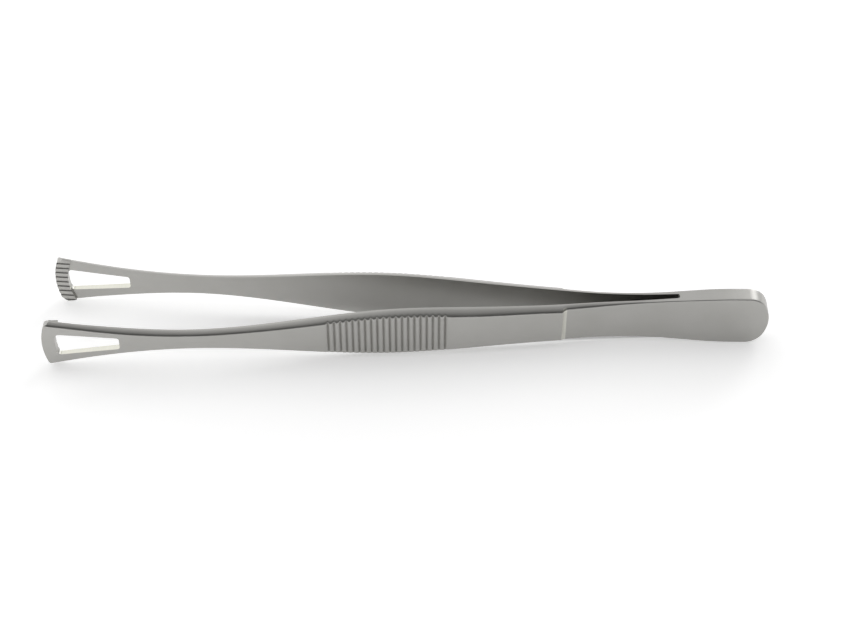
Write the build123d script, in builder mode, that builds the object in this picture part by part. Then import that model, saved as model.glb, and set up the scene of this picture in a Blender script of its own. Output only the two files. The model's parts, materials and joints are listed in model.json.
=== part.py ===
from build123d import *
import math
import os

# Duval tissue forceps: two springy steel strips that are welded together at the butt and close when
# the thumb and a finger squeeze them. Each has a broad jaw with a window and a toothed bar.
# Millimetres. +X runs from the jaws to the butt, the arms open along Y, and +Z is up. The forceps lies
# on the edges of its strips: the table is at Z = 0, and the origin is on the table, under the middle
# of the length, in the plane that the two arms mirror each other about.

# Lengths along the forceps, each from where the one before it ends
jaw_length = 14.0
neck_run = 16.0
taper_run = 18.0
grip_run = 23.0
shank_run = 19.0
shoulder_lead = 17.0
spring_lead = 6.0
spring_thinning = 6.0
spring_run = 10.5
slot_overrun = 1.7
weld_run = 7.8
butt_flare_run = 4.0
butt_end_run = 7.0

# Distances from the tips
jaw_rear_at = jaw_length
neck_at = jaw_rear_at + neck_run
taper_at = neck_at + taper_run
grip_at = taper_at + grip_run
shank_at = grip_at + shank_run
shoulder_at = shank_at + shoulder_lead
spring_at = shoulder_at + spring_lead
spring_thin_at = spring_at + spring_thinning
root_at = spring_thin_at + spring_run
slot_end_at = root_at + slot_overrun
weld_at = slot_end_at + weld_run
butt_flat_at = weld_at + butt_flare_run
overall_length = butt_flat_at + butt_end_run

# Width of a strip, edge to edge. The mouth and the butt are the full strip, and lie on the table.
strip_width = 12.4
mouth_flare = 0.2
jaw_rear_width = 7.5
neck_width = 5.0
taper_width = 7.4
grip_width = 12.0
shank_width = 10.9
spring_width = 9.75
root_width = 10.8

# Gap between the inner faces of the two relaxed arms
mouth_gap = 18.8
jaw_rear_gap = 17.1
neck_gap = 15.8
taper_gap = 13.6
grip_gap = 10.1
shank_gap = 7.1
shoulder_gap = 4.1
spring_gap = 2.9
slot_gap = 1.2
slot_slope = 0.03

# Thickness of one arm, and of the two welded together
mouth_thickness = 1.05
jaw_rear_thickness = 1.35
neck_thickness = 1.4
taper_thickness = 1.6
grip_front_thickness = 1.75
grip_rear_thickness = 2.0
shoulder_thickness = 1.75
spring_thickness = 0.8
root_thickness = 0.9
butt_thickness = 3.5

# Flanks: over this reach from the inner face the edge of a strip rounds off by this fall
flank_reach = 2.2
flank_fall = 1.55
flank_bulge = 0.42

# Shoulder, where the thick shank steps down to the thin spring
shoulder_run = 1.3
shoulder_drop = 0.75
spring_foot_slope = 0.13

# End of the slot between the arms, and the welded butt
slot_corner = 0.4
butt_end_radius = 9.0
butt_corner_radius = 4.0
butt_edge_break = 0.2

# Ribs across the thumb grips, from ahead of the widest place
rib_count = 20
rib_pitch = 1.27
rib_depth = 0.55
rib_angle = 90.0
rib_lead = 12.3
ribs_from = grip_at - rib_lead

# Toothed bar along the tip of each jaw
tip_radius = 17.0
bar_width = 2.7
bar_height = 0.6
groove_count = 9
groove_pitch = 1.3
groove_depth = 0.3
groove_mouth = 0.75
groove_floor = 0.1

# Window through each jaw, from the bar's rear face backwards
window_to = 15.8
window_front_height = 5.75
window_rear_height = 3.0
window_corner = 0.55

# Cross-sections that the blank of an arm is drawn through, evenly spaced
section_count = 17

# Planes: plan looks down on the forceps and side looks at the flat of an arm, both with their origin
# at the tips and at the middle height of the strips. Cutters run past the strips by a margin.
tips = Vector(-overall_length / 2, 0, strip_width / 2)
plan = Plane(tips)
side = Plane(tips, x_dir=(1, 0, 0), z_dir=(0, -1, 0))
margin = 2.0
spare_height = strip_width
spare_depth = mouth_gap

# When the arms have turned by the closing angle, the faces of both toothed bars meet in the middle
closing_slope = (mouth_gap / 2 - bar_height) / root_at
closing_angle = math.degrees(math.atan(closing_slope))


def height_on(curve, distance):
    """Gives how far a curve in plan lies from the X axis, at a distance from the tips."""
    return curve.find_intersection_points(Axis((distance, 0, 0), (0, 1, 0)))[0].Y


# Curves along the length: half the width of a strip, and the inner face of the back arm
half_width = Spline(
    (-margin, strip_width / 2 + margin * mouth_flare),
    (0, strip_width / 2),
    (jaw_rear_at, jaw_rear_width / 2),
    (neck_at, neck_width / 2),
    (taper_at, taper_width / 2),
    (grip_at, grip_width / 2),
    (shank_at, shank_width / 2),
    (spring_at, spring_width / 2),
    (root_at, root_width / 2),
    (butt_flat_at, strip_width / 2),
    tangents=[(1, -mouth_flare), (1, 0)],
)
inner_face = Spline(
    (-margin, mouth_gap / 2 + margin * closing_slope),
    (0, mouth_gap / 2),
    (jaw_rear_at, jaw_rear_gap / 2),
    (neck_at, neck_gap / 2),
    (taper_at, taper_gap / 2),
    (grip_at, grip_gap / 2),
    (shank_at, shank_gap / 2),
    (shoulder_at, shoulder_gap / 2),
    (spring_at, spring_gap / 2),
    (slot_end_at, slot_gap / 2),
    tangents=[(1, -closing_slope), (1, -slot_slope)],
)


def outer_point(distance, thickness):
    """Gives a point of the back arm's outer face, a thickness away from its inner face."""
    return Vector(distance, height_on(inner_face, distance) + thickness)


# The grip is ground straight in plan, so that every rib is cut to the same depth
rib_run = (rib_count - 1) * rib_pitch
grip_front = outer_point(ribs_from - rib_pitch, grip_front_thickness)
grip_rear = outer_point(ribs_from + rib_run + rib_pitch, grip_rear_thickness)
grip_line = (grip_rear - grip_front).normalized()
shoulder_top = outer_point(shoulder_at, shoulder_thickness)
shoulder_foot = shoulder_top + Vector(shoulder_run, -shoulder_drop)

# Outer face of the back arm in plan, from the tip to the full thickness of the butt
with BuildLine() as outer_face:
    Spline(
        outer_point(-margin, mouth_thickness),
        outer_point(0, mouth_thickness),
        outer_point(jaw_rear_at, jaw_rear_thickness),
        outer_point(neck_at, neck_thickness),
        outer_point(taper_at, taper_thickness),
        grip_front,
        tangents=[(1, -closing_slope), grip_line],
    )
    Line(grip_front, grip_rear)
    Spline(grip_rear, shoulder_top, tangents=[grip_line, (1, -closing_slope)])
    TangentArc(shoulder_foot, shoulder_top, tangent=(-1, spring_foot_slope))
    Spline(
        shoulder_foot,
        outer_point(spring_thin_at, spring_thickness),
        outer_point(root_at, root_thickness),
        (weld_at, butt_thickness / 2),
        tangents=[(1, -spring_foot_slope), (1, 0)],
    )


def draw_section(distance):
    """Draws the cross-section of a strip with its flanks rounded towards the outer face."""
    edge = height_on(half_width, distance)
    inside = height_on(inner_face, distance)
    outside = inside + flank_reach
    halfway = inside + flank_reach / 2
    across = Plane(tips + Vector(distance, 0, 0), x_dir=(0, 1, 0), z_dir=(1, 0, 0))
    with BuildSketch(across) as section:
        with BuildLine():
            Polyline(
                (inside, edge),
                (inside - margin, edge),
                (inside - margin, -edge),
                (inside, -edge),
            )
            ThreePointArc((inside, -edge), (halfway, flank_bulge - edge), (outside, flank_fall - edge))
            Line((outside, flank_fall - edge), (outside, edge - flank_fall))
            ThreePointArc((outside, edge - flank_fall), (halfway, edge - flank_bulge), (inside, edge))
        make_face()
    return section.sketch


# Blank of the back arm, from a little beyond the tip to the root, still without its faces
blank_overrun = margin / 2
section_step = (root_at + blank_overrun) / (section_count - 1)
with BuildPart() as blank:
    loft([draw_section(section_step * number - blank_overrun) for number in range(section_count)])


def make_bar(grooves):
    """Makes the toothed bar, which follows the round tip and stands up from the jaw's inner face."""
    crest = mouth_gap / 2 - bar_height
    buried = mouth_gap / 2 + mouth_thickness / 2
    reach = 2 * bar_width
    along_tip = Vector(math.cos(math.radians(closing_angle)), -math.sin(math.radians(closing_angle)))
    into_jaw = Vector(-along_tip.Y, along_tip.X)
    with BuildPart() as bar:
        add(blank.part)
        with BuildSketch(plan):
            Polygon(
                (-margin, crest + margin * closing_slope),
                (reach, crest - reach * closing_slope),
                (reach, buried - reach * closing_slope),
                (-margin, buried + margin * closing_slope),
            )
        extrude(amount=spare_height, both=True, mode=Mode.INTERSECT)
        with BuildSketch(side):
            with Locations((tip_radius, 0)):
                Circle(tip_radius)
                Circle(tip_radius - bar_width, mode=Mode.SUBTRACT)
        extrude(amount=spare_depth, both=True, mode=Mode.INTERSECT)
        with BuildSketch(Plane(tips + Vector(0, crest, 0), x_dir=into_jaw, z_dir=along_tip)):
            with GridLocations(0, groove_pitch, 1, grooves):
                Polygon(
                    (0, -groove_mouth / 2),
                    (groove_depth, -groove_floor / 2),
                    (groove_depth, groove_floor / 2),
                    (0, groove_mouth / 2),
                )
        extrude(amount=reach, both=True, mode=Mode.SUBTRACT)
    return bar.part


def make_back_arm(grooves):
    """Makes an arm on the +Y side, from the toothed tip to the root."""
    with BuildPart() as arm:
        add(blank.part)
        with BuildSketch(plan):
            with BuildLine():
                add(inner_face)
                Line(inner_face @ 1, outer_face.line @ 1)
                add(outer_face.line)
                Line(outer_face.line @ 0, inner_face @ 0)
            make_face()
        extrude(amount=spare_height, both=True, mode=Mode.INTERSECT)
        with BuildSketch(side):
            with Locations((tip_radius, 0)):
                Circle(tip_radius)
            with Locations((tip_radius / 2, 0)):
                Rectangle(root_at, 2 * tip_radius, align=(Align.MIN, Align.CENTER))
        extrude(amount=spare_depth, both=True, mode=Mode.INTERSECT)
        add(make_bar(grooves))
        with BuildSketch(side) as window:
            Polygon(
                (bar_width, -window_front_height / 2),
                (window_to, -window_rear_height / 2),
                (window_to, window_rear_height / 2),
                (bar_width, window_front_height / 2),
            )
            with Locations((tip_radius, 0)):
                Circle(tip_radius - bar_width, mode=Mode.INTERSECT)
            fillet(window.vertices(), window_corner)
        extrude(amount=spare_depth, both=True, mode=Mode.SUBTRACT)
        groove_half = rib_depth * math.tan(math.radians(rib_angle / 2))
        with BuildSketch(Plane(tips + grip_front, x_dir=grip_line, z_dir=(0, 0, 1))):
            with Locations((rib_pitch + rib_run / 2, 0)):
                with GridLocations(rib_pitch, 0, rib_count, 1):
                    Polygon((-groove_half, 0), (0, -rib_depth), (groove_half, 0))
        extrude(amount=spare_height, both=True, mode=Mode.SUBTRACT)
    return arm.part


with BuildPart() as back_arm:
    add(make_back_arm(groove_count))

# One groove more sets the front arm's teeth half a pitch across, so that they mesh with the back arm's
with BuildPart() as front_arm:
    mirror(make_back_arm(groove_count + 1), about=Plane.XZ)

# Butt: the ends of both strips, welded and ground flush, with the blind end of the slot
with BuildPart() as butt:
    with BuildSketch(plan):
        with BuildLine():
            add(outer_face.line)
            weld_corner = outer_face.line @ 1
            tip_corner = outer_face.line @ 0
            Polyline(
                weld_corner,
                (overall_length, weld_corner.Y),
                (overall_length, 0),
                (tip_corner.X, 0),
                tip_corner,
            )
        make_face()
        mirror(about=Plane.XZ)
        with BuildSketch(mode=Mode.SUBTRACT) as slot:
            with BuildLine():
                add(inner_face)
                slot_end = inner_face @ 1
                slot_mouth = inner_face @ 0
                Polyline(slot_end, (slot_end.X, 0), (slot_mouth.X, 0), slot_mouth)
            make_face()
            mirror(about=Plane.XZ)
            fillet(slot.vertices().group_by(Axis.X)[-1], slot_corner)
    extrude(amount=spare_height, both=True)
    with BuildSketch(side) as outline:
        end_arc_from = overall_length - butt_end_radius
        end_arc_from += math.sqrt(butt_end_radius**2 - (strip_width / 2) ** 2)
        with BuildLine():
            add(half_width)
            flat_start = half_width @ 1
            Polyline(flat_start, (end_arc_from, flat_start.Y))
            ThreePointArc(
                (end_arc_from, flat_start.Y),
                (overall_length, 0),
                (end_arc_from, -flat_start.Y),
            )
            add(half_width.mirror(Plane.XZ))
            Polyline((end_arc_from, -flat_start.Y), (flat_start.X, -flat_start.Y))
            Line(half_width @ 0, half_width.mirror(Plane.XZ) @ 0)
        make_face()
        fillet(outline.vertices().group_by(Axis.X)[-1], butt_corner_radius)
        with Locations((root_at, 0)):
            Rectangle(
                overall_length,
                2 * strip_width,
                align=(Align.MIN, Align.CENTER),
                mode=Mode.INTERSECT,
            )
    extrude(amount=spare_depth, both=True, mode=Mode.INTERSECT)
    flats = butt.faces().filter_by(lambda face: abs(face.center().Y) > butt_thickness / 3)
    rim = flats.filter_by(lambda face: abs(face.normal_at().Y) > 0.9).edges()
    chamfer(rim.filter_by(Axis.Z, reverse=True), butt_edge_break)

back_arm.part.label = "back_arm"
front_arm.part.label = "front_arm"
butt.part.label = "butt"

os.makedirs("parts", exist_ok=True)
export_step(back_arm.part, "parts/back_arm.step")
export_step(front_arm.part, "parts/front_arm.step")
export_step(butt.part, "parts/butt.step")
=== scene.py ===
# %% [markdown]
# # Duval tissue forceps in satin stainless steel
#
# This scene dresses the solids of a 150 mm tissue forceps: two spring-steel strips, welded at the butt,
# each with a windowed jaw, a toothed bar, a ribbed thumb grip and a thin spring. The solids give every
# size and place, and stay where they are. The strips are modelled again here, because a real strip is
# one piece from its teeth to the weld and bends in its spring, while the solids are cut at the root.

# %% Load the solids
import bmesh
import bpy
import json
import math
import numpy as np
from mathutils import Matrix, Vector

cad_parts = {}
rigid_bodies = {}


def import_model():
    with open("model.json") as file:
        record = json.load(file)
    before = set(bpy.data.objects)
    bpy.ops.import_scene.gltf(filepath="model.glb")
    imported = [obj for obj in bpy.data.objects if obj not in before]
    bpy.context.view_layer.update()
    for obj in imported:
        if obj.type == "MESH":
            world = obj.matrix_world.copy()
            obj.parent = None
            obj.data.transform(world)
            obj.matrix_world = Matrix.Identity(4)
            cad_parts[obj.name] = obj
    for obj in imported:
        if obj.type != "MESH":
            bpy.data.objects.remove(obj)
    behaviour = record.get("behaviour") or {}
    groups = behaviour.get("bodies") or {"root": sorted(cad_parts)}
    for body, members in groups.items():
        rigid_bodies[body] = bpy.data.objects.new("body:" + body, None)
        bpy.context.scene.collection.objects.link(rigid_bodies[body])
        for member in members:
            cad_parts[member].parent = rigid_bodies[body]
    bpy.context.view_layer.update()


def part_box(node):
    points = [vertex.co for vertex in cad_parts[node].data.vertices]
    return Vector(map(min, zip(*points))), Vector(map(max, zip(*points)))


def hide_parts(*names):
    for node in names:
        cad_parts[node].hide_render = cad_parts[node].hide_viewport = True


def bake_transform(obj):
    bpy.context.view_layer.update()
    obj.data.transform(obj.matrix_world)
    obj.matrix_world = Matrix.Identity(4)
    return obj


for leftover in list(bpy.data.objects):
    bpy.data.objects.remove(leftover)
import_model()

mm = 0.001

# %% [markdown]
# ## Key sizes
#
# A strip is drawn like the lines of a boat: one curve for half its width, one for its inner face and
# one for its outer face, each through a few key points. Distances are millimetres from the tips, which
# is how an instrument maker measures them. The ends, the table and the root are read from the solids.

# %% Key sizes of a strip, in millimetres
tips_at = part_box("front_arm")[0].x / mm
mid_height = (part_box("butt")[0].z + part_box("butt")[1].z) / 2 / mm
overall_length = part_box("butt")[1].x / mm - tips_at
root_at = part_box("butt")[0].x / mm - tips_at
jaw_rear_at, neck_at, taper_at, grip_at, shank_at = 14, 30, 48, 71, 90
shoulder_at, spring_at, spring_thin_at = 107, 113, 119
slot_end_at, weld_at, butt_flat_at = 131.2, 139, 143
margin = 2.0

full_half_width, mouth_gap, mouth_flare, bar_height = 6.2, 18.8, 0.2, 0.6
closing_slope = (mouth_gap / 2 - bar_height) / root_at
half_width_points = [
    (-margin, full_half_width + margin * mouth_flare), (0, full_half_width),
    (jaw_rear_at, 3.75), (neck_at, 2.5), (taper_at, 3.7), (grip_at, 6.0), (shank_at, 5.45),
    (spring_at, 4.875), (root_at, 5.4), (butt_flat_at, full_half_width),
]
inner_face_points = [
    (-margin, mouth_gap / 2 + margin * closing_slope), (0, mouth_gap / 2),
    (jaw_rear_at, 8.55), (neck_at, 7.9), (taper_at, 6.8), (grip_at, 5.05), (shank_at, 3.55),
    (shoulder_at, 2.05), (spring_at, 1.45), (slot_end_at, 0.6),
]
print("tips at", round(tips_at, 3), "middle height", round(mid_height, 3), "root at", round(root_at, 3))


# %% A fair curve through key points
def fair_curve(points, start_slope, end_slope):
    """Gives the curve that a bent batten takes through the points, as a function of the distance."""
    x, y = np.array(points, float).T
    gap = np.diff(x)
    rise = np.diff(y) / gap
    steps = np.eye(len(x))
    wanted = np.zeros(len(x))
    wanted[0], wanted[-1] = start_slope, end_slope
    for i in range(1, len(x) - 1):
        steps[i, i - 1:i + 2] = 1 / gap[i - 1], 2 / gap[i - 1] + 2 / gap[i], 1 / gap[i]
        wanted[i] = 3 * (rise[i - 1] / gap[i - 1] + rise[i] / gap[i])
    slope = np.linalg.solve(steps, wanted)

    def height(distance):
        i = int(np.clip(np.searchsorted(x, distance) - 1, 0, len(x) - 2))
        s = (distance - x[i]) / gap[i]
        ends = (1 + 2 * s) * (1 - s) ** 2 * y[i] + s * s * (3 - 2 * s) * y[i + 1]
        return float(ends + gap[i] * s * (1 - s) * ((1 - s) * slope[i] - s * slope[i + 1]))

    return height


half_width_to_flat = fair_curve(half_width_points, -mouth_flare, 0)
inner_face_to_slot = fair_curve(inner_face_points, -closing_slope, -0.03)
print("half width at the tip, neck and grip",
      [round(half_width_to_flat(d), 2) for d in (0, neck_at, grip_at)])

# %% [markdown]
# ## Outer face
#
# The outer face is ground: it follows the inner face at a wall of 1 to 2 mm, runs dead straight where
# the ribs are cut, and drops over a small scooped shoulder to the thin spring. Each stretch is a curve
# of its own, so that the shoulder stays crisp and the ribs stay equally deep. The solids have plain V
# grooves for ribs; here a groove is rounded and shallower, as soft as the photograph shows it.

# %% Curves of the outer face, in millimetres
rib_count, rib_pitch, ribs_from = 20, 1.27, 58.7
# Half a groove, as places along the grip and how deep it is there
rib_groove = (
    (-0.6, 0), (-0.48, 0.03), (-0.36, 0.08), (-0.26, 0.145), (-0.17, 0.22), (-0.08, 0.33), (0, 0.39),
)
half_butt, shoulder_run, shoulder_drop = 1.75, 1.3, 0.75


def outer_point(distance, thickness):
    """Gives a point of the outer face from the wall thickness there."""
    return distance, inner_face_to_slot(distance) + thickness


grip_thickness = 1.9
grip_front = outer_point(ribs_from - rib_pitch, 1.75)
grip_rear = outer_point(ribs_from + rib_count * rib_pitch, 2.0)
grip_slope = (grip_rear[1] - grip_front[1]) / (grip_rear[0] - grip_front[0])
shoulder_top = outer_point(shoulder_at, 1.75)
shoulder_foot = (shoulder_at + shoulder_run, shoulder_top[1] - shoulder_drop)
foot_slope = -0.13
jaw_to_grip = fair_curve(
    [outer_point(-margin, 1.05), outer_point(0, 1.05), outer_point(jaw_rear_at, 1.35),
     outer_point(neck_at, 1.4), outer_point(taper_at, 1.6), grip_front],
    -closing_slope, grip_slope,
)
grip_to_shoulder = fair_curve([grip_rear, shoulder_top], grip_slope, -closing_slope)
foot_to_weld = fair_curve(
    [shoulder_foot, outer_point(spring_thin_at, 0.8), outer_point(root_at, 0.9), (weld_at, half_butt)],
    foot_slope, 0,
)

# The shoulder is an arc that meets the spring without a corner
scoop_up = Vector((-foot_slope, 1)).normalized()
scoop_rise = Vector(shoulder_top) - Vector(shoulder_foot)
scoop_radius = scoop_rise.length_squared / 2 / scoop_rise.dot(scoop_up)
scoop_centre = Vector(shoulder_foot) + scoop_radius * scoop_up


def outer_face(distance):
    """Gives the outer face's place across the opening, without the ribs."""
    if distance < grip_front[0]:
        return jaw_to_grip(distance)
    if distance < grip_rear[0]:
        return grip_front[1] + grip_slope * (distance - grip_front[0])
    if distance <= shoulder_top[0]:
        return grip_to_shoulder(distance)
    if distance < shoulder_foot[0]:
        return scoop_centre.y - math.sqrt(scoop_radius**2 - (distance - scoop_centre.x) ** 2)
    return foot_to_weld(distance) if distance < weld_at else half_butt


print("wall at the tip, neck, grip and spring",
      [round(outer_face(d) - inner_face_to_slot(d), 2) for d in (0, neck_at, grip_at, spring_thin_at)])

# %% [markdown]
# ## Cross-section of a strip
#
# A strip is flat inside and outside, and its edges are rounded flanks: an arc that leans from 17
# degrees at the inner face to 39 degrees at the outer face. One half of the section is drawn as a row
# of points, from the middle of the inner face over the flank to the middle of the outer face.
# A bevel modifier could break the edges afterwards, but the break widens towards the butt, so it is
# drawn with the section: a hair of chamfer inside and a tight round outside, as tumbling leaves them.
# A support point just past the round keeps the smooth shading off the flat face beside it.

# %% One half of the section, as a ring of points in millimetres
flank_from, flank_to = math.sin(math.radians(17)), math.sin(math.radians(39))
inner_break, outer_break, butt_break = 0.08, 0.26, 0.3
flank_fades_from, inner_break_fades_from = 112, 122
flank_shares, round_shares, support = (0.17, 0.34, 0.51, 0.68, 0.84), (0.33, 0.67, 1), 0.15
slot_corner, bar_zone, bar_zone_fade = 0.4, 4.5, 3


def ease(distance, start, end):
    """Goes smoothly from 0 at start to 1 at end."""
    t = min(1, max(0, (distance - start) / (end - start)))
    return t * t * (3 - 2 * t)


def flank_fall(distance, depth):
    """Gives how far the flank has fallen from the strip's edge, at a depth from the inner face."""
    if distance >= slot_end_at:
        return 0
    wall = outer_face(distance) - inner_face_to_slot(distance)
    radius = wall / (flank_to - flank_from)
    start = radius * flank_from
    fall = math.sqrt(radius**2 - start**2) - math.sqrt(radius**2 - (start + depth) ** 2)
    return fall * (1 - ease(distance, flank_fades_from, slot_end_at))


def section(distance, inner=None, outer=None, edge=None, lean=0.0):
    """Gives a ring of points of the back strip; lean turns its edge round the end of the butt."""
    inner = inner_face_to_slot(distance) if inner is None else inner
    outer = outer_face(distance) if outer is None else outer
    edge = half_width_to_flat(min(distance, butt_flat_at)) if edge is None else edge
    wall = outer - inner
    near = inner_break * ease(distance, bar_zone, bar_zone + bar_zone_fade)
    near *= 1 - ease(distance, inner_break_fades_from, slot_end_at)
    far = outer_break + (butt_break - outer_break) * ease(distance, flank_fades_from, slot_end_at)
    depths = [0, near, *(near + (wall - near - far) * share for share in flank_shares), wall - far]
    falls = [near, *(flank_fall(distance, depth) for depth in depths[1:])]
    flank_end, corner = falls[-1], flank_fall(distance, wall)
    for share in round_shares:
        left = (1 - share) ** 2
        depths.append(wall - far * left)
        falls.append(flank_end * left + corner * (1 - left) + far * share**2)
    depths.append(wall)
    falls.append(corner + far + support)
    ring = [
        Vector((distance - math.sin(lean) * fall, inner + depth, edge - math.cos(lean) * fall))
        for depth, fall in zip(depths, falls)
    ]
    ring.insert(0, Vector((ring[0].x, inner, 0)))
    ring.append(Vector((ring[-1].x, outer, 0)))
    return ring


print("points in a ring", len(section(neck_at)))
print("flank fall at the grip", round(flank_fall(grip_at, grip_thickness), 2))

# %% [markdown]
# ## Stations along a strip
#
# Shipwrights place frames closer together where the hull turns faster. Here a station every 1 to 2 mm
# is enough for the long curves, each rounded groove of the ribs takes thirteen, and the shoulder, the
# blind end of the slot and the round end of the butt get stations of their own.

# %% Stations from beyond the tip to the end of the butt
end_radius, corner_radius = 9.0, 4.0
short_step, long_step, scoop_step, jaw_stations_to = 1, 1.5, 0.22, 16


def spread(start, end, step):
    """Gives evenly spaced distances from start up to, but not at, end."""
    count = max(1, round((end - start) / step))
    return [start + (end - start) * i / count for i in range(count)]


def rib_rings():
    """Gives the rings of the ribs, which are rounded grooves square to the straight grip."""
    along = Vector((1, grip_slope)).normalized()
    outward = Vector((-along.y, along.x))
    rings = []
    both_sides = [*rib_groove, *((-shift, sink) for shift, sink in rib_groove[-2::-1])]
    for number in range(rib_count):
        middle = Vector(grip_front) + along * rib_pitch * (number + 1)
        for shift, sink in both_sides:
            place = middle + along * shift - outward * sink
            rings.append(section(place.x, outer=place.y))
    return rings


def slot_end_rings():
    """Gives the rings round the two small corners at the blind end of the slot."""
    rings = []
    for turn in range(0, 91, 18):
        angle = math.radians(turn)
        distance = slot_end_at - slot_corner * (1 - math.sin(angle))
        depth = inner_face_to_slot(slot_end_at - slot_corner)
        rings.append(section(distance, inner=depth - slot_corner * (1 - math.cos(angle))))
    blind_end = [point.copy() for point in rings[-1]]
    blind_end[0].y = blind_end[1].y = 0
    return rings + [blind_end]


def butt_end_rings():
    """Gives the rings round the butt's corner and its shallow end arc."""
    corner_z = full_half_width - corner_radius
    arc_centre = overall_length - end_radius
    corner_x = arc_centre + math.sqrt((end_radius - corner_radius) ** 2 - corner_z**2)
    meet = math.degrees(math.atan2(corner_z, corner_x - arc_centre))
    rings = []
    for degrees in np.linspace(90, meet, 12):
        angle = math.radians(degrees)
        x, z = corner_x + corner_radius * math.cos(angle), corner_z + corner_radius * math.sin(angle)
        rings.append(section(x, inner=0, edge=z, lean=math.pi / 2 - angle))
    for degrees in np.linspace(meet, 0, 8)[1:]:
        angle = math.radians(degrees)
        x, z = arc_centre + end_radius * math.cos(angle), end_radius * math.sin(angle)
        rings.append(section(x, inner=0, edge=z, lean=math.pi / 2 - angle))
    return rings


rings = [section(d) for d in spread(-1, jaw_stations_to, short_step)]
rings += [section(d) for d in spread(jaw_stations_to, grip_front[0], long_step)]
rings += [section(grip_front[0])] + rib_rings()
rings += [section(d) for d in spread(grip_rear[0], shoulder_top[0], long_step)]
rings += [section(d) for d in spread(shoulder_top[0], shoulder_foot[0], scoop_step)]
rings += [section(d) for d in spread(shoulder_foot[0], slot_end_at - slot_corner, short_step)]
rings += slot_end_rings()
rings += [section(d, inner=0) for d in spread(slot_end_at + 1, butt_flat_at + 2, long_step)]
rings += butt_end_rings()
print("stations", len(rings))

# %% [markdown]
# ## Drawing the strip
#
# A lofted CAD surface would do it, but in Blender the same form is made as a modeller makes a hull: one
# vertex is extruded into the first ring, the ring is extruded from station to station, and each of its
# points is slid to its place. The top half is made and mirrored, so both edges are exactly alike.


# %% Helpers for modelling in edit mode
def deselect_everything():
    """Leaves nothing selected, because an operator acts on all that is."""
    if bpy.context.object and bpy.context.object.mode == "EDIT":
        bpy.ops.object.mode_set(mode="OBJECT")
    bpy.ops.object.select_all(action="DESELECT")


def edit(piece):
    """Opens one object in edit mode and gives its editable mesh."""
    deselect_everything()
    piece.select_set(True)
    bpy.context.view_layer.objects.active = piece
    bpy.ops.object.mode_set(mode="EDIT")
    return bmesh.from_edit_mesh(piece.data)


def pick(piece, wanted):
    """Selects just the vertices that the function wants, and what they bound."""
    bpy.ops.mesh.select_all(action="DESELECT")
    mesh = bmesh.from_edit_mesh(piece.data)
    for vertex in mesh.verts:
        if wanted(vertex.co / mm):
            vertex.select = True
    mesh.select_flush(True)
    bmesh.update_edit_mesh(piece.data)


def move(x=0, y=0, z=0):
    """Moves what is selected by millimetres."""
    bpy.ops.transform.translate(value=(x * mm, y * mm, z * mm))


def extrude(x=0, y=0, z=0):
    """Extrudes what is selected by millimetres."""
    bpy.ops.mesh.extrude_region_move(TRANSFORM_OT_translate={"value": (x * mm, y * mm, z * mm)})


def slide(piece, wanted, shift):
    """Slides each of the wanted vertices by a shift of its own, in millimetres."""
    mesh = bmesh.from_edit_mesh(piece.data)
    for place in [vertex.index for vertex in mesh.verts if wanted(vertex.co / mm)]:
        bpy.ops.mesh.select_all(action="DESELECT")
        mesh = bmesh.from_edit_mesh(piece.data)
        mesh.verts.ensure_lookup_table()
        mesh.verts[place].select = True
        move(*shift(mesh.verts[place].co / mm))


def close_up(piece):
    """Merges doubles, splits faces of more than four sides and turns every face outwards."""
    edit(piece)
    bpy.ops.mesh.select_all(action="SELECT")
    bpy.ops.mesh.remove_doubles(threshold=0.0005 * mm)
    bpy.ops.mesh.normals_make_consistent(inside=False)
    bpy.ops.mesh.select_mode(type="FACE")
    bpy.ops.mesh.select_face_by_sides(number=4, type="GREATER", extend=False)
    bpy.ops.mesh.quads_convert_to_tris()
    bpy.ops.mesh.select_mode(type="VERT")
    bpy.ops.object.mode_set(mode="OBJECT")


def report(piece):
    """Prints what was made."""
    corners = [Vector(corner) / mm for corner in piece.bound_box]
    low, high = corners[0], corners[6]
    print(piece.name, len(piece.data.polygons), "faces, from", tuple(round(c, 2) for c in low),
          "to", tuple(round(c, 2) for c in high))


# %% The back strip, drawn from ring to ring
def draw_strip(name, rings):
    """Draws the upper half of a strip through its rings, mirrors it and closes its ends."""
    deselect_everything()
    bpy.ops.mesh.primitive_plane_add(size=mm)
    strip = bpy.context.object
    strip.name = strip.data.name = name
    edit(strip)
    bpy.ops.mesh.select_all(action="SELECT")
    bpy.ops.mesh.merge(type="CENTER")
    move(*rings[0][0])
    for here, there in zip(rings[0], rings[0][1:]):
        extrude(*(there - here))
    mesh = bmesh.from_edit_mesh(strip.data)
    order = [min(range(len(rings[0])), key=lambda i: (vertex.co / mm - rings[0][i]).length)
             for vertex in mesh.verts]
    bpy.ops.mesh.select_all(action="SELECT")
    for ring in rings[1:]:
        extrude(x=0.5)
        mesh = bmesh.from_edit_mesh(strip.data)
        places = [vertex.index for vertex in mesh.verts if vertex.select]
        for place, number in zip(places, order):
            mesh.verts.ensure_lookup_table()
            bpy.ops.mesh.select_all(action="DESELECT")
            mesh.verts[place].select = True
            move(*(ring[number] - mesh.verts[place].co / mm))
            mesh = bmesh.from_edit_mesh(strip.data)
        pick(strip, lambda co: False)
        mesh = bmesh.from_edit_mesh(strip.data)
        mesh.verts.ensure_lookup_table()
        for place in places:
            mesh.verts[place].select = True
        mesh.select_flush(True)
    bpy.ops.object.mode_set(mode="OBJECT")
    mirror = strip.modifiers.new("Mirror", "MIRROR")
    mirror.use_axis = (False, False, True)
    mirror.merge_threshold = 0.0005 * mm
    bpy.ops.object.modifier_apply(modifier=mirror.name)
    edit(strip)
    bpy.ops.mesh.select_all(action="SELECT")
    bpy.ops.mesh.fill_holes(sides=0)
    close_up(strip)
    return strip


back_strip = draw_strip("back_strip", rings)
report(back_strip)

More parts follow.
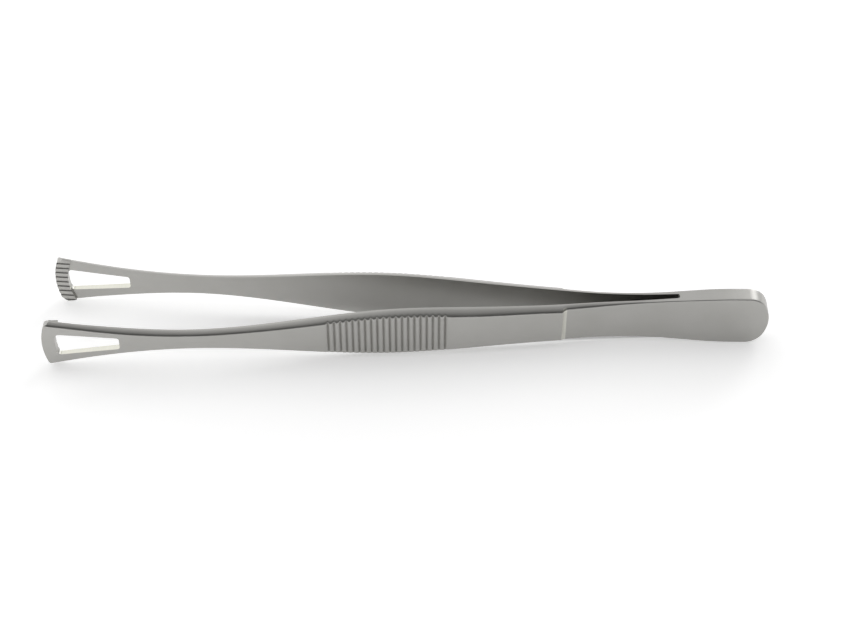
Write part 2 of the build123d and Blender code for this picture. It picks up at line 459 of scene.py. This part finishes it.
# %% [markdown]
# ## The jaw
#
# The jaw of a real Duval forceps is cut from the strip with cutters: the tip is turned round, a window
# is milled through, and a toothed bar is left standing along the tip. Booleans do the same here. Each
# cutter is a primitive that is shaped in edit mode and is gone once it has cut. The grooves between the
# teeth are 0.2 mm deep instead of the solids' 0.3 mm, which gives the soft teeth of the photograph.

# %% Sizes of the jaw, and a helper that cuts
tip_radius, tip_corner, bar_width, bar_bury = 17.0, 0.9, 2.7, 0.15
window_to, window_front_height, window_rear_height = 15.8, 5.75, 3.0
window_front_corner, window_rear_corner = 0.8, 0.55
groove_pitch, groove_depth, groove_mouth, groove_floor, crest_round = 1.3, 0.2, 0.7, 0.3, 0.05
crest = mouth_gap / 2 - bar_height


def combine(piece, tool, operation):
    """Cuts or joins a piece with a tool object, and removes the tool."""
    close_up(tool)
    close_up(piece)
    deselect_everything()
    piece.select_set(True)
    bpy.context.view_layer.objects.active = piece
    boolean = piece.modifiers.new(operation.title(), "BOOLEAN")
    boolean.solver = "EXACT"
    boolean.operation = operation
    boolean.object = tool
    bpy.ops.object.modifier_apply(modifier=boolean.name)
    bpy.data.objects.remove(tool)


def add_rectangle(name, centre, length, width, upright=True):
    """Adds a rectangle: upright, it faces across the opening, and otherwise it lies flat."""
    deselect_everything()
    bpy.ops.mesh.primitive_plane_add(size=mm)
    piece = bpy.context.object
    piece.name = piece.data.name = name
    if upright:
        piece.rotation_euler.x = math.pi / 2
        bpy.ops.object.transform_apply(location=False, rotation=True, scale=False)
    edit(piece)
    bpy.ops.mesh.select_all(action="SELECT")
    stretch = (length, 1, width) if upright else (length, width, 1)
    bpy.ops.transform.resize(value=stretch, center_override=(0, 0, 0))
    move(*centre)
    return piece


def trim(piece, point, outwards):
    """Cuts off what lies beyond a plane, in millimetres, and closes the cut."""
    bpy.ops.mesh.select_all(action="SELECT")
    bpy.ops.mesh.bisect(
        plane_co=Vector(point) * mm, plane_no=outwards, use_fill=True, clear_outer=True,
    )


# %% The toothed bar, swept round the tip and trimmed
def make_bar():
    """Makes the bar's blank: a block swept round the tip's centre, trimmed at its crest and ends."""
    overhang, half_sweep, ledge = 0.5, math.radians(24), 0.04
    depth = 1 + bar_height + bar_bury
    centre = ((bar_width - overhang) / 2, crest - 1 + depth / 2, 0)
    bar = add_rectangle("bar", centre, bar_width + overhang, depth, upright=False)
    pivot = (tip_radius * mm, 0, 0)
    bpy.ops.transform.rotate(value=-half_sweep, orient_axis="Y", center_override=pivot)
    bpy.ops.mesh.spin(steps=40, angle=2 * half_sweep, center=pivot, axis=(0, 1, 0))
    trim(bar, (0, crest, 0), (-closing_slope, -1, 0))
    edge_slope = (half_width_to_flat(0) - half_width_to_flat(3.5)) / 3.5
    for side in (1, -1):
        trim(bar, (0, 0, side * (half_width_to_flat(0) - ledge)), (edge_slope, 0, side))
    bpy.ops.object.mode_set(mode="OBJECT")
    return bar


# %% Cutters for the round tip, the window and the teeth
def find_tip_corner():
    """Gives the centre of the circle that rounds the outer face's corner, by closing in on it."""
    reach = tip_radius - tip_corner
    outer_inset = flank_fall(0, 0.8)
    x = z = 0
    for _ in range(20):
        z = half_width_to_flat(x) - outer_inset - tip_corner
        x = tip_radius - math.sqrt(reach**2 - z**2)
    return x, z


def make_tip_cutter():
    """Makes the tool that turns the tip round: a block with a hollow as wide as the tip's circle."""
    clear_of_tip, past_both_faces = 6, 16
    corner_x, corner_z = find_tip_corner()
    touch = math.asin(corner_z / (tip_radius - tip_corner))
    arc = tip_corner * (math.pi / 2 - touch)

    def to_corner(co):
        beyond = tip_radius * (math.asin(abs(co.z) / tip_radius) - touch)
        angle = touch + min(beyond, arc) / tip_corner
        ahead = max(0, beyond - arc) * 0.7
        x = corner_x - tip_corner * math.cos(angle) + ahead
        z = corner_z + tip_corner * math.sin(angle) + ahead
        return x - co.x, 0, math.copysign(z, co.z) - co.z

    deselect_everything()
    bpy.ops.mesh.primitive_circle_add(
        vertices=900,
        radius=tip_radius * mm,
        location=(tip_radius * mm, 0, 0),
        rotation=(math.pi / 2, 0, 0),
    )
    cutter = bpy.context.object
    bpy.ops.object.transform_apply(location=True, rotation=True, scale=False)
    edit(cutter)
    pick(cutter, lambda co: co.x > 3)
    bpy.ops.mesh.delete(type="VERT")
    slide(cutter, lambda co: abs(co.z) > tip_radius * math.sin(touch), to_corner)
    bpy.ops.mesh.select_all(action="SELECT")
    extrude(x=-clear_of_tip)
    bpy.ops.mesh.select_all(action="SELECT")
    extrude(y=past_both_faces)
    bpy.ops.object.mode_set(mode="OBJECT")
    return cutter


def make_window_cutter():
    """Makes the tool that mills the window: tapered, with round corners and a bowed front."""
    skim, cutter_from, cutter_depth = 0.03, 5, 8
    window_from = bar_width - skim
    bow_radius = tip_radius - window_from
    middle = (window_from + window_to) / 2
    centre = (middle, cutter_from, 0)
    cutter = add_rectangle("window", centre, window_to - window_from, window_front_height)
    pick(cutter, lambda co: co.x > middle)
    taper = window_rear_height / window_front_height
    bpy.ops.transform.resize(value=(1, 1, taper), center_override=(0, 0, 0))
    bpy.ops.mesh.bevel(affect="VERTICES", offset=window_rear_corner * mm, segments=8)
    pick(cutter, lambda co: co.x < middle)
    bpy.ops.mesh.bevel(affect="VERTICES", offset=window_front_corner * mm, segments=8)
    pick(cutter, lambda co: co.x < window_from + 0.01)
    bpy.ops.mesh.subdivide(number_cuts=15)
    slide(cutter, lambda co: co.x < window_from + 1,
          lambda co: (bow_radius - math.sqrt(bow_radius**2 - co.z**2), 0, 0))
    bpy.ops.mesh.select_all(action="SELECT")
    extrude(y=cutter_depth)
    bpy.ops.object.mode_set(mode="OBJECT")
    return cutter


def make_tooth_cutter(grooves):
    """Makes the row of tapered keys that cut the grooves between the teeth, along the closing slope."""
    spare, ahead, behind = 0.05, 1, 5
    taper = (groove_mouth - groove_floor) / groove_depth
    waist = groove_mouth - taper * crest_round
    middle = ((behind - ahead) / 2, crest + groove_depth, 0)
    keys = add_rectangle("teeth", middle, ahead + behind, groove_floor)
    extrude(y=crest_round - groove_depth)
    bpy.ops.transform.resize(value=(1, 1, waist / groove_floor), center_override=(0, 0, 0))
    extrude(y=-crest_round - spare)
    flare = 1 + 2 * (crest_round + spare) / waist
    bpy.ops.transform.resize(value=(1, 1, flare), center_override=(0, 0, 0))
    pick(keys, lambda co: co.x < 0)
    move(y=closing_slope * ahead)
    pick(keys, lambda co: co.x > 0)
    move(y=-closing_slope * behind)
    bpy.ops.mesh.select_all(action="SELECT")
    move(z=-(grooves - 1) / 2 * groove_pitch)
    for _ in range(grooves - 1):
        bpy.ops.mesh.duplicate_move(TRANSFORM_OT_translate={"value": (0, 0, groove_pitch * mm)})
    bpy.ops.object.mode_set(mode="OBJECT")
    return keys


# %% Cut the jaw of the back strip, and mirror a second strip from it
def place_strip(strip, side, grooves):
    """Cuts the teeth of a strip and puts it on its side of the opening, at the place of the solids."""
    combine(strip, make_tooth_cutter(grooves), "DIFFERENCE")
    edit(strip)
    bpy.ops.mesh.select_all(action="SELECT")
    bpy.ops.transform.resize(value=(1, side, 1), center_override=(0, 0, 0))
    move(tips_at, 0, mid_height)
    close_up(strip)
    bpy.ops.object.shade_smooth_by_angle(angle=math.radians(28))
    report(strip)


combine(back_strip, make_bar(), "UNION")
combine(back_strip, make_tip_cutter(), "DIFFERENCE")
combine(back_strip, make_window_cutter(), "DIFFERENCE")
deselect_everything()
back_strip.select_set(True)
bpy.context.view_layer.objects.active = back_strip
bpy.ops.object.duplicate()
front_strip = bpy.context.object
front_strip.name = front_strip.data.name = "front_strip"
place_strip(back_strip, 1, 9)
place_strip(front_strip, -1, 10)

# %% [markdown]
# ## Finish
#
# The forceps is martensitic stainless steel, blasted with fine glass beads: a satin grey with a faint
# warm cast. Its colour is painted a little darker towards the butt: painted shade for the dimmer tent
# and shadowed paper that the flats reflect there. The tiny dents trap light, so it is darker than
# bright steel. The windows are milled and the shoulders ground after the blasting, which makes three
# finishes of one metal; the rear of the toothed bar is blasted like the flats. The ground steel of the
# shoulders is partly a brighter finish and partly a painted highlight, for the light from the right
# that the scoop catches. A rough metal alone would look like grey plastic, so clouds from hand blasting
# vary its colour and roughness. The dents are about 0.05 mm, too fine to show, so they are drawn at 0.3
# mm.


# %% Colours and nodes
def linear(hex_colour):
    """Turns an sRGB hex colour into the linear values that a shader takes."""
    shares = [int(hex_colour[i:i + 2], 16) / 255 for i in (1, 3, 5)]
    return (*(s / 12.92 if s <= 0.04045 else ((s + 0.055) / 1.055) ** 2.4 for s in shares), 1)


def add_node(tree, kind, settings=(), inputs=(), links=()):
    """Adds a node, sets its properties and inputs, and links other nodes' outputs to its inputs."""
    node = tree.nodes.new(kind)
    for name, value in dict(settings).items():
        setattr(node, name, value)
    for name, value in dict(inputs).items():
        node.inputs[name].default_value = value
    for name, output in dict(links).items():
        tree.links.new(output, node.inputs[name])
    return node


def new_material(name):
    """Makes an empty node material."""
    material = bpy.data.materials.new(name)
    material.use_nodes = True
    material.node_tree.nodes.clear()
    return material


def finish_metal(tree, colour, roughness, height, depth):
    """Ends a metal's nodes: the bump of a height pattern, the shader and the output."""
    relief = add_node(
        tree, "ShaderNodeBump", inputs={"Strength": 0.5, "Distance": depth}, links={"Height": height},
    )
    metal = add_node(
        tree, "ShaderNodeBsdfPrincipled", inputs={"Metallic": 1.0},
        links={"Base Color": colour, "Roughness": roughness, "Normal": relief.outputs["Normal"]},
    )
    add_node(tree, "ShaderNodeOutputMaterial", links={"Surface": metal.outputs["BSDF"]})


def vary(tree, pattern, low, high):
    """Maps a pattern to a range of colours, given as hex, or of numbers."""
    if isinstance(low, str):
        mix = add_node(tree, "ShaderNodeMix", {"data_type": "RGBA"}, links={"Factor": pattern})
        mix.inputs["A"].default_value, mix.inputs["B"].default_value = linear(low), linear(high)
        return mix.outputs["Result"]
    spread_out = add_node(
        tree, "ShaderNodeMapRange", inputs={"To Min": low, "To Max": high}, links={"Value": pattern},
    )
    return spread_out.outputs["Result"]


def noise(tree, size, detail=2.0, stretch=(1, 1, 1)):
    """Gives a noise pattern in object coordinates, with lumps of about a size in millimetres."""
    place = add_node(tree, "ShaderNodeTexCoord").outputs["Object"]
    stretched = add_node(tree, "ShaderNodeMapping", inputs={"Scale": stretch}, links={"Vector": place})
    lumps = add_node(
        tree, "ShaderNodeTexNoise", inputs={"Scale": 1 / (size * mm), "Detail": detail},
        links={"Vector": stretched.outputs["Vector"]},
    )
    return lumps.outputs["Fac"]


# %% Blasted steel, with clouds from hand blasting, a fine grain and painted shade towards the butt
def blasted_steel():
    """Makes the satin metal of the whole instrument, with painted shade towards the butt."""
    material = new_material("bead_blasted_stainless_painted_shade")
    tree = material.node_tree
    clouds = noise(tree, 7, detail=3.0)
    place = add_node(tree, "ShaderNodeTexCoord").outputs["Object"]
    along = add_node(tree, "ShaderNodeSeparateXYZ", links={"Vector": place}).outputs["X"]
    # Painted shade: the colour falls by a tenth from the jaws to the butt, where the flats reflect
    # darker surroundings.
    painted_shade_to_butt = add_node(
        tree, "ShaderNodeMapRange",
        inputs={"From Min": -30 * mm, "From Max": 70 * mm, "To Min": 1.0, "To Max": 0.9},
        links={"Value": along},
    )
    colour = add_node(
        tree, "ShaderNodeVectorMath", {"operation": "SCALE"},
        links={"Vector": vary(tree, clouds, "#adaca8", "#b9b8b5"), "Scale": painted_shade_to_butt.outputs["Result"]},
    )
    roughness = vary(tree, clouds, 0.34, 0.42)
    finish_metal(tree, colour.outputs["Vector"], roughness, noise(tree, 0.3), 0.015 * mm)
    return material


# %% Milled and ground steel, with fine marks of the tool across the wall
def bright_steel(name, low, high):
    """Makes a bright metal for the windows' walls or the scooped shoulders, from two hex colours."""
    material = new_material(name)
    tree = material.node_tree
    marks = noise(tree, 0.4, stretch=(1, 0.1, 1))
    colour = vary(tree, marks, low, high)
    finish_metal(tree, colour, vary(tree, marks, 0.26, 0.34), marks, 0.01 * mm)
    return material


def assign(strip, slot, wanted):
    """Gives a finish to the faces that the function wants, by centre and normal."""
    mesh = edit(strip)
    bpy.ops.mesh.select_mode(type="FACE")
    bpy.ops.mesh.select_all(action="DESELECT")
    for face in mesh.faces:
        face.select = wanted(face.calc_center_median() / mm, face.normal)
    bmesh.update_edit_mesh(strip.data)
    strip.active_material_index = slot
    bpy.ops.object.material_slot_assign()
    bpy.ops.mesh.select_mode(type="VERT")
    bpy.ops.object.mode_set(mode="OBJECT")


def is_milled(centre, normal):
    """Tells whether a face is a wall of the window, other than the rear of the toothed bar."""
    distance = centre.x - tips_at
    in_window = bar_width - 0.1 < distance < window_to + 0.1 and abs(centre.z - mid_height) < 3
    return in_window and abs(normal.y) < 0.3 and normal.x < 0.5


def is_ground_with_painted_highlight(centre, normal):
    """Tells whether a face is the upper scoop of the shoulder, ground by the wheel and given a painted
    highlight.
    """
    in_scoop = shoulder_top[0] < centre.x - tips_at < shoulder_foot[0] - blasted_foot
    faces_out = normal.y * centre.y > 0
    return in_scoop and faces_out and abs(normal.y) > 0.5


blasted_foot = 0.35
steel = blasted_steel()
milled = bright_steel("milled_stainless", "#d8d7cc", "#e5e4d9")
# The shoulder's bright colour is partly its ground finish and partly a painted highlight for light from
# the right.
ground = bright_steel("ground_stainless_painted_highlight", "#c8c7bf", "#d4d3cb")
for strip in (back_strip, front_strip):
    strip.data.materials.clear()
    for material in (steel, milled, ground):
        strip.data.materials.append(material)
    assign(strip, 1, is_milled)
    assign(strip, 2, is_ground_with_painted_highlight)
    counts = [sum(face.material_index == slot for face in strip.data.polygons) for slot in range(3)]
    print(strip.name, "has", counts, "blasted, milled and ground faces")

# %% [markdown]
# ## Camera, floor and light
#
# The photograph is a catalogue picture: the camera looks down at 45 degrees from the front arm's side
# through a long lens. The forceps lies in a white tent that is bright behind it and dim on the camera's
# side, so the edges shine, the flanks go dark towards the outer face and the shadow falls forwards.
# Lamps alone would draw hard lines on the flats, so the tent is a smooth world light, brighter towards
# the jaws; one softbox behind on the right makes the highlight on the butt's corner. The paper is
# lifted to white for the camera, except near the forceps and between its arms, where the shadow stays.

# %% Camera
def look_from(azimuth, elevation):
    """Gives the direction from the object to a viewer; azimuth 0 is the front arm's side."""
    a, e = math.radians(azimuth), math.radians(elevation)
    return Vector((math.sin(a) * math.cos(e), -math.cos(a) * math.cos(e), math.sin(e)))


aim = Vector((3.86, -2.11, mid_height)) * mm
camera_distance, camera_azimuth, camera_elevation, lens = 399.6 * mm, 0.684, 44.70, 81.04
camera = bpy.data.objects.new("camera", bpy.data.cameras.new("camera"))
bpy.context.scene.collection.objects.link(camera)
camera.location = aim + look_from(camera_azimuth, camera_elevation) * camera_distance
camera.rotation_euler = (aim - camera.location).to_track_quat("-Z", "Y").to_euler()
camera.data.lens = lens
camera.data.sensor_width = 36
camera.data.clip_start, camera.data.clip_end = 0.01, 10
bpy.context.scene.camera = camera
print("camera at", tuple(round(c / mm, 1) for c in camera.location))


# %% Floor
def seen_directly(tree):
    """Gives 1 for rays from the camera, and for those that metal or glass sends on."""
    path = add_node(tree, "ShaderNodeLightPath")
    either = add_node(
        tree, "ShaderNodeMath", {"operation": "MAXIMUM"},
        links={0: path.outputs["Is Camera Ray"], 1: path.outputs["Is Glossy Ray"]},
    )
    return add_node(
        tree, "ShaderNodeMath", {"operation": "MAXIMUM"},
        links={0: either.outputs[0], 1: path.outputs["Is Transmission Ray"]},
    ).outputs[0]


def held_between_arms(tree, place):
    """Gives less than 1 on the paper between the arms, which hide the tent from it."""
    sides = add_node(tree, "ShaderNodeSeparateXYZ", links={"Vector": place})
    gap = add_node(
        tree, "ShaderNodeMath", {"operation": "MULTIPLY_ADD"},
        inputs={1: -0.08, 2: 4.85 * mm}, links={0: sides.outputs["X"]},
    )
    some_gap = add_node(
        tree, "ShaderNodeMath", {"operation": "MAXIMUM"},
        inputs={1: 0.001 * mm}, links={0: gap.outputs[0]},
    )
    off_middle = add_node(
        tree, "ShaderNodeMath", {"operation": "ABSOLUTE"}, links={0: sides.outputs["Y"]},
    )
    share = add_node(
        tree, "ShaderNodeMath", {"operation": "DIVIDE"},
        links={0: off_middle.outputs[0], 1: some_gap.outputs[0]},
    )
    deepest = add_node(
        tree, "ShaderNodeMapRange",
        inputs={"From Min": -60 * mm, "From Max": -10 * mm, "To Min": 1.0, "To Max": 0.3},
        links={"Value": sides.outputs["X"]},
    )
    return add_node(
        tree, "ShaderNodeMapRange", {"interpolation_type": "SMOOTHSTEP"},
        inputs={"From Min": 0.45, "From Max": 0.85, "To Max": 1.0},
        links={"Value": share.outputs[0], "To Min": deepest.outputs["Result"]},
    ).outputs["Result"]


def white_paper():
    """Matt white sweep that keeps the shadow near the forceps and fades to plain white further out."""
    material = new_material("matt_white_paper")
    tree = material.node_tree
    place = add_node(tree, "ShaderNodeTexCoord").outputs["Object"]
    squeezed = add_node(
        tree, "ShaderNodeMapping",
        inputs={"Scale": (1 / 0.16, 1 / 0.075, 0)}, links={"Vector": place},
    )
    reach = add_node(
        tree, "ShaderNodeVectorMath", {"operation": "LENGTH"}, links={0: squeezed.outputs["Vector"]},
    )
    lift = add_node(
        tree, "ShaderNodeMapRange", {"interpolation_type": "SMOOTHSTEP"},
        inputs={"From Min": 0.4, "From Max": 1.3, "To Min": 0.43, "To Max": 0.88},
        links={"Value": reach.outputs["Value"]},
    )
    held_back = add_node(
        tree, "ShaderNodeMath", {"operation": "MULTIPLY"},
        links={0: lift.outputs["Result"], 1: held_between_arms(tree, place)},
    )
    shown = add_node(
        tree, "ShaderNodeMath", {"operation": "MULTIPLY"},
        links={0: held_back.outputs[0], 1: seen_directly(tree)},
    )
    paper = add_node(tree, "ShaderNodeBsdfDiffuse", inputs={"Color": linear("#f2f2f2")})
    glow = add_node(tree, "ShaderNodeEmission", links={"Strength": shown.outputs[0]})
    both = add_node(tree, "ShaderNodeAddShader", links={0: paper.outputs[0], 1: glow.outputs[0]})
    add_node(tree, "ShaderNodeOutputMaterial", links={"Surface": both.outputs[0]})
    return material


deselect_everything()
bpy.ops.mesh.primitive_plane_add(size=4)
floor = bpy.context.object
floor.name = "floor"
floor.data.materials.append(white_paper())

# %% World and soft light
world = bpy.data.worlds.new("white_tent")
bpy.context.scene.world = world
world.use_nodes = True
tree = world.node_tree
tree.nodes.clear()
towards = add_node(tree, "ShaderNodeTexCoord").outputs["Generated"]
sides = add_node(tree, "ShaderNodeSeparateXYZ", links={"Vector": towards})
tent = add_node(
    tree, "ShaderNodeMapRange", {"interpolation_type": "SMOOTHSTEP"},
    inputs={"From Min": -0.5, "From Max": 0.1, "To Min": 0.14, "To Max": 1.05},
    links={"Value": sides.outputs["Y"]},
)
jaw_side = add_node(
    tree, "ShaderNodeMapRange", {"interpolation_type": "SMOOTHSTEP"},
    inputs={"From Min": -0.25, "From Max": 0.05, "To Min": 1.35, "To Max": 0.93},
    links={"Value": sides.outputs["X"]},
)
glow = add_node(
    tree, "ShaderNodeMath", {"operation": "MULTIPLY"},
    links={0: tent.outputs["Result"], 1: jaw_side.outputs["Result"]},
)
strength = add_node(
    tree, "ShaderNodeMath", {"operation": "MAXIMUM"},
    links={0: glow.outputs[0], 1: add_node(tree, "ShaderNodeLightPath").outputs["Is Camera Ray"]},
)
sky = add_node(tree, "ShaderNodeBackground", links={"Strength": strength.outputs[0]})
add_node(tree, "ShaderNodeOutputWorld", links={"Surface": sky.outputs[0]})


def add_softbox(name, place, size, radiance):
    """Adds a soft rectangular light of an even brightness, which faces the forceps."""
    lamp = bpy.data.lights.new(name, "AREA")
    lamp.shape = "RECTANGLE"
    lamp.size, lamp.size_y = size
    lamp.energy = radiance * math.pi * size[0] * size[1]
    softbox = bpy.data.objects.new(name, lamp)
    bpy.context.scene.collection.objects.link(softbox)
    softbox.location = place
    softbox.rotation_euler = (-Vector(place)).to_track_quat("-Z", "Y").to_euler()
    return softbox


add_softbox("back_softbox", (0.42, 0.66, 0.34), (0.3, 0.5), 2.8)
bpy.context.scene.view_settings.view_transform = "Standard"

# %% [markdown]
# ## Bodies
#
# A real strip bends in its thin spring between the weld and the jaw. Here each strip is baked in place,
# and the arm solid and the butt that it stands for are hidden.

# %% Bake the strips in place and hide the solids they stand for
for strip, arm in ((front_strip, "front_arm"), (back_strip, "back_arm")):
    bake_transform(strip)
    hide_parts(arm, "butt")
